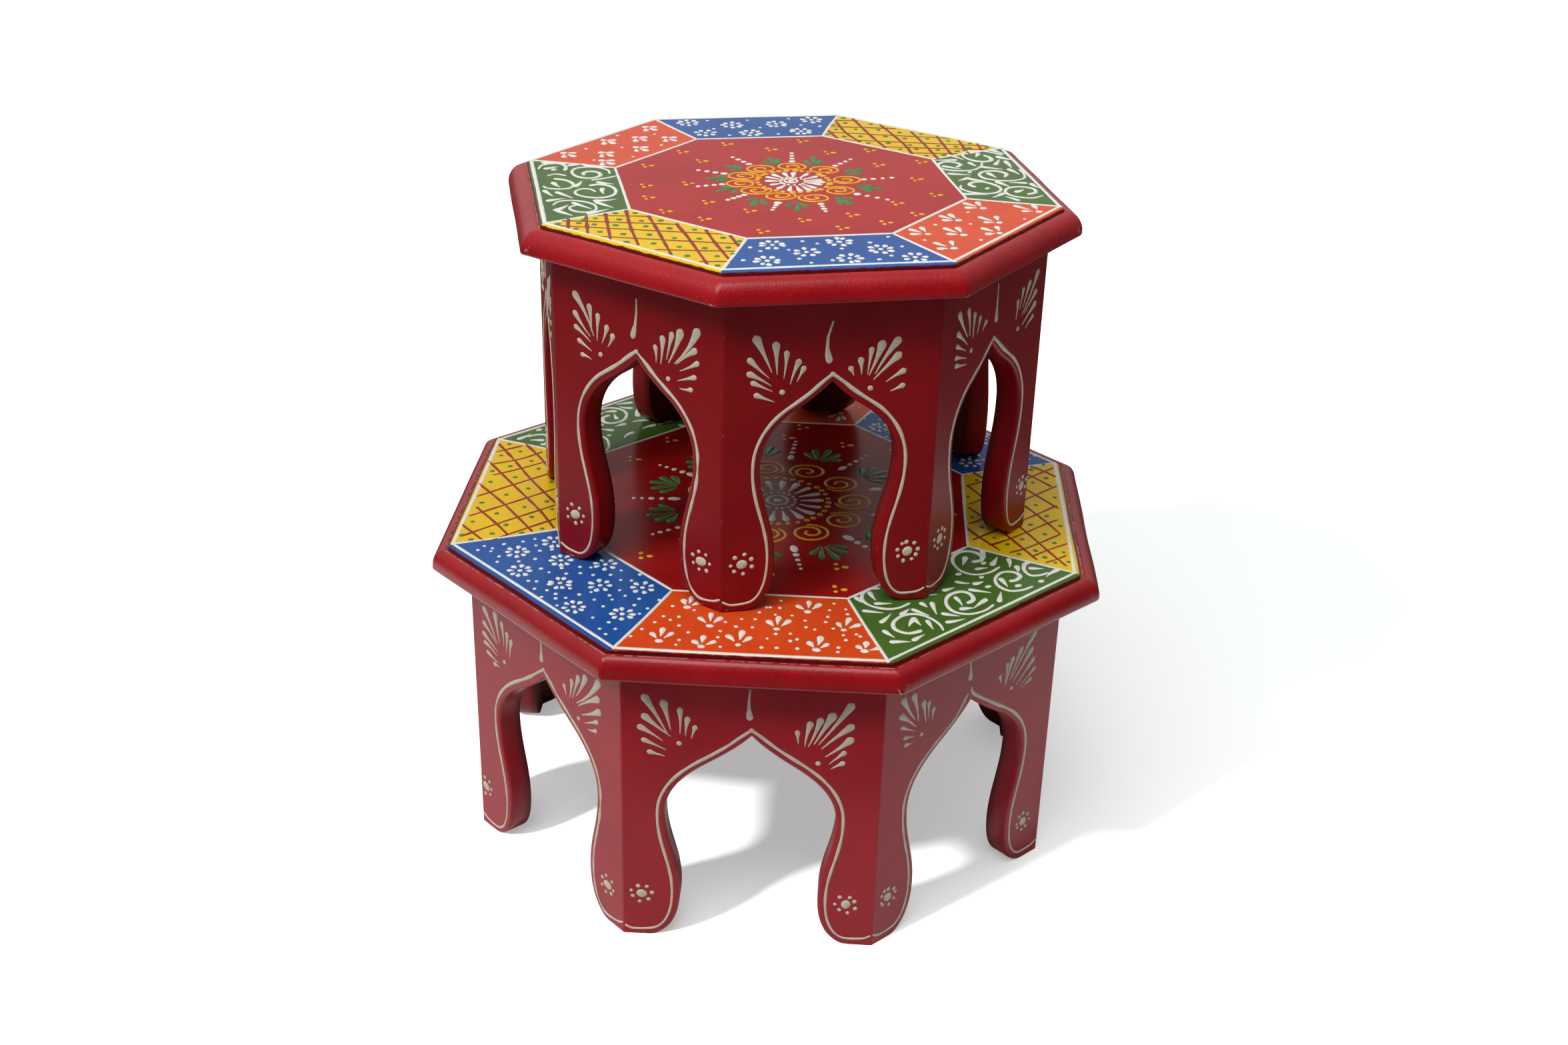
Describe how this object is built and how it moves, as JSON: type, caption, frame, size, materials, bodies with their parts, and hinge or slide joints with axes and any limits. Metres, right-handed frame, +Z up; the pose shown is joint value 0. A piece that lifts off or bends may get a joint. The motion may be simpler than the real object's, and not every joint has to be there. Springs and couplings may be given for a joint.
{
  "type": "octagonal stool",
  "caption": "Low octagonal wooden stools with ogee-arched side panels, the smaller stacked on the larger, painted red with raised floral ornament.",
  "frame": {"origin": "on the floor, under the middle of the lower stool", "axes": "+Z up; -Y towards the front panel of the lower stool; +X to the right of someone facing that panel"},
  "size_m": [0.305, 0.305, 0.3126],
  "materials": {
    "crimson_paint": "satin red paint over wood",
    "board_paint": "satin red paint over a moulded board, with coloured fields",
    "block_wood": "bare sawn wood",
    "screw_steel": "zinc-plated steel",
    "relief_paint": "raised matt paint strokes"
  },
  "bodies": {
    "lower_stool": {"lower_top_board": "board_paint", "lower_side_panel_1": "crimson_paint", "lower_side_panel_2": "crimson_paint", "lower_side_panel_3": "crimson_paint", "lower_side_panel_4": "crimson_paint", "lower_side_panel_5": "crimson_paint", "lower_side_panel_6": "crimson_paint", "lower_side_panel_7": "crimson_paint", "lower_side_panel_8": "crimson_paint", "lower_corner_block_1": "block_wood", "lower_corner_block_2": "block_wood", "lower_corner_block_3": "block_wood", "lower_corner_block_4": "block_wood", "lower_corner_block_5": "block_wood", "lower_corner_block_6": "block_wood", "lower_corner_block_7": "block_wood", "lower_corner_block_8": "block_wood", "lower_block_screw_1": "screw_steel", "lower_block_screw_2": "screw_steel", "lower_block_screw_3": "screw_steel", "lower_block_screw_4": "screw_steel", "lower_block_screw_5": "screw_steel", "lower_block_screw_6": "screw_steel", "lower_block_screw_7": "screw_steel", "lower_block_screw_8": "screw_steel"},
    "upper_stool": {"upper_top_board": "board_paint", "upper_side_panel_1": "crimson_paint", "upper_side_panel_2": "crimson_paint", "upper_side_panel_3": "crimson_paint", "upper_side_panel_4": "crimson_paint", "upper_side_panel_5": "crimson_paint", "upper_side_panel_6": "crimson_paint", "upper_side_panel_7": "crimson_paint", "upper_side_panel_8": "crimson_paint", "upper_corner_block_1": "block_wood", "upper_corner_block_2": "block_wood", "upper_corner_block_3": "block_wood", "upper_corner_block_4": "block_wood", "upper_corner_block_5": "block_wood", "upper_corner_block_6": "block_wood", "upper_corner_block_7": "block_wood", "upper_corner_block_8": "block_wood", "upper_block_screw_1": "screw_steel", "upper_block_screw_2": "screw_steel", "upper_block_screw_3": "screw_steel", "upper_block_screw_4": "screw_steel", "upper_block_screw_5": "screw_steel", "upper_block_screw_6": "screw_steel", "upper_block_screw_7": "screw_steel", "upper_block_screw_8": "screw_steel"}
  },
  "joints": [
    {"name": "upper_stool_lift", "type": "slide", "parent": "lower_stool", "child": "upper_stool", "axis": [0, 0, 1], "range_m": [0, 0.15]}
  ]
}
